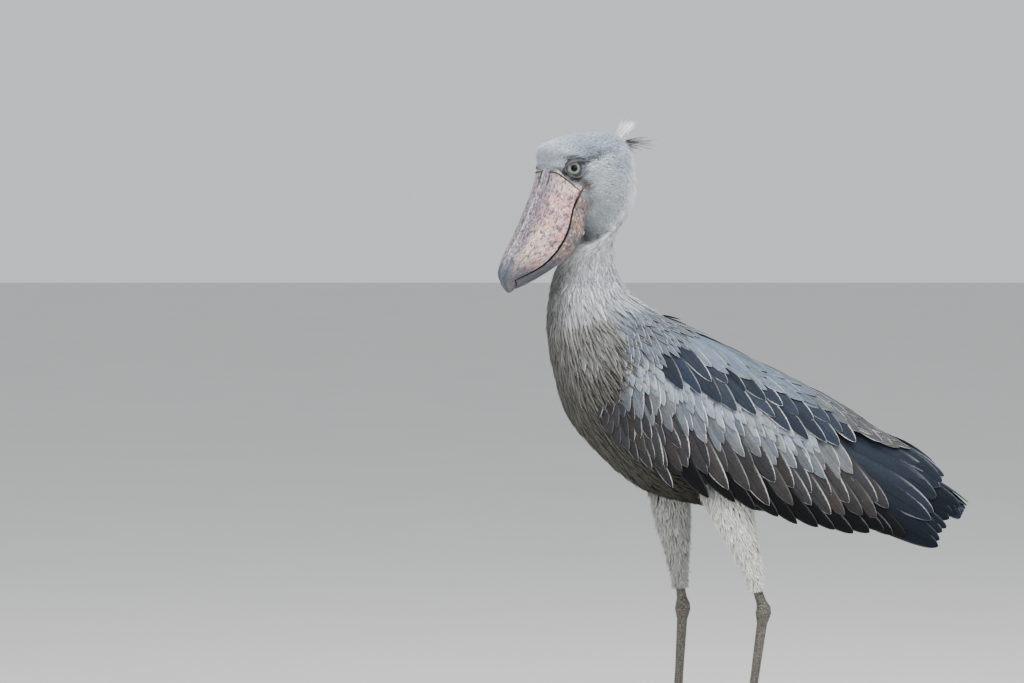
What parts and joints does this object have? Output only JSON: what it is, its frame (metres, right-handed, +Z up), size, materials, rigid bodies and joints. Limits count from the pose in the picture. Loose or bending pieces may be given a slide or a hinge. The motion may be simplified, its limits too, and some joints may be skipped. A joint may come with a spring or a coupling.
{
  "type": "shoebill",
  "caption": "Still life-size shoebill standing in a slow walking stance, head turned to its left, huge hooked bill held down, wings folded.",
  "frame": {"origin": "middle of the bird's bounding box on the floor that it stands on", "axes": "+Z up, -X the way the bird faces, -Y its left side"},
  "size_m": [0.7774, 0.3072, 1.0291],
  "materials": {
    "plumage": "soft blue-grey plumage with pale feather edges",
    "wing_plumage": "slate wing and tail feathers with pale edges",
    "thigh_down": "whitish downy feathering",
    "horn": "pinkish straw horn with grey-blue blotches, low sheen",
    "leg_scale": "dark grey scaly skin",
    "claw": "dark horn with a low gloss",
    "eye": "wet pale iris with a black pupil"
  },
  "bodies": {
    "root": {"bill_lower": "horn", "bill_upper": "horn", "claw_hind_left": "claw", "claw_hind_right": "claw", "claw_inner_left": "claw", "claw_inner_right": "claw", "claw_middle_left": "claw", "claw_middle_right": "claw", "claw_outer_left": "claw", "claw_outer_right": "claw", "eye_left": "eye", "eye_right": "eye", "foot_left": "leg_scale", "foot_right": "leg_scale", "head": "plumage", "neck": "plumage", "shank_left": "leg_scale", "shank_right": "leg_scale", "tail": "wing_plumage", "tarsus_left": "leg_scale", "tarsus_right": "leg_scale", "thigh_left": "thigh_down", "thigh_right": "thigh_down", "toe_hind_left": "leg_scale", "toe_hind_right": "leg_scale", "toe_inner_left": "leg_scale", "toe_inner_right": "leg_scale", "toe_middle_left": "leg_scale", "toe_middle_right": "leg_scale", "toe_outer_left": "leg_scale", "toe_outer_right": "leg_scale", "torso": "plumage", "wing_left": "wing_plumage", "wing_right": "wing_plumage"}
  },
  "joints": []
}
